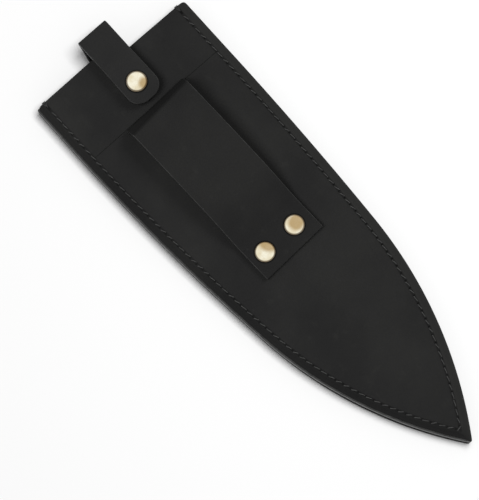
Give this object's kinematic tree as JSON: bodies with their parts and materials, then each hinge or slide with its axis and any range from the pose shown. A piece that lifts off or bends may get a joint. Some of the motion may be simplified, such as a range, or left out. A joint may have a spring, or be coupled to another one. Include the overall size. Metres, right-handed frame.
{
  "type": "knife blade guard",
  "caption": "Black leather knife blade guard with a stitched leaf-shaped body, a riveted belt loop and a snap strap folded over the mouth.",
  "frame": {"origin": "middle of the bounding box with the strap closed, at the height of the face that the guard rests on", "axes": "+X across the guard to the side with the lower mouth, +Y from the tip to the mouth, +Z out of the front face"},
  "size_m": [0.0724, 0.2182, 0.017],
  "materials": {
    "black_leather": "matte, lightly grained black leather",
    "welt_leather": "black leather with a burnished edge",
    "thread": "waxed black thread",
    "pale_brass": "polished pale gold",
    "spring_steel": "drawn wire"
  },
  "bodies": {
    "sheath": {"back_panel": "black_leather", "welt_left": "welt_leather", "welt_right": "welt_leather", "front_lower_panel": "black_leather", "front_mouth_panel": "black_leather", "belt_loop": "black_leather", "loop_rivet_cap_left": "pale_brass", "loop_rivet_cap_right": "pale_brass", "loop_rivet_base_left": "pale_brass", "loop_rivet_base_right": "pale_brass", "snap_stud": "pale_brass", "snap_backing": "pale_brass", "thread_front": "thread", "thread_back": "thread", "tack_left": "thread", "tack_right": "thread"},
    "strap_riser": {"strap_riser": "black_leather"},
    "strap_flap": {"strap_flap": "black_leather", "snap_cap": "pale_brass", "snap_socket": "pale_brass", "snap_spring": "spring_steel"}
  },
  "joints": [
    {"name": "strap_root", "type": "hinge", "parent": "sheath", "child": "strap_riser", "pos_m": [0, 0.09785, 0], "axis": [-1, 0, 0], "range_deg": [0, 100]},
    {"name": "strap_crease", "type": "hinge", "parent": "strap_riser", "child": "strap_flap", "pos_m": [0, 0.10915, 0.0136], "axis": [-1, 0, 0], "range_deg": [0, 129]}
  ]
}
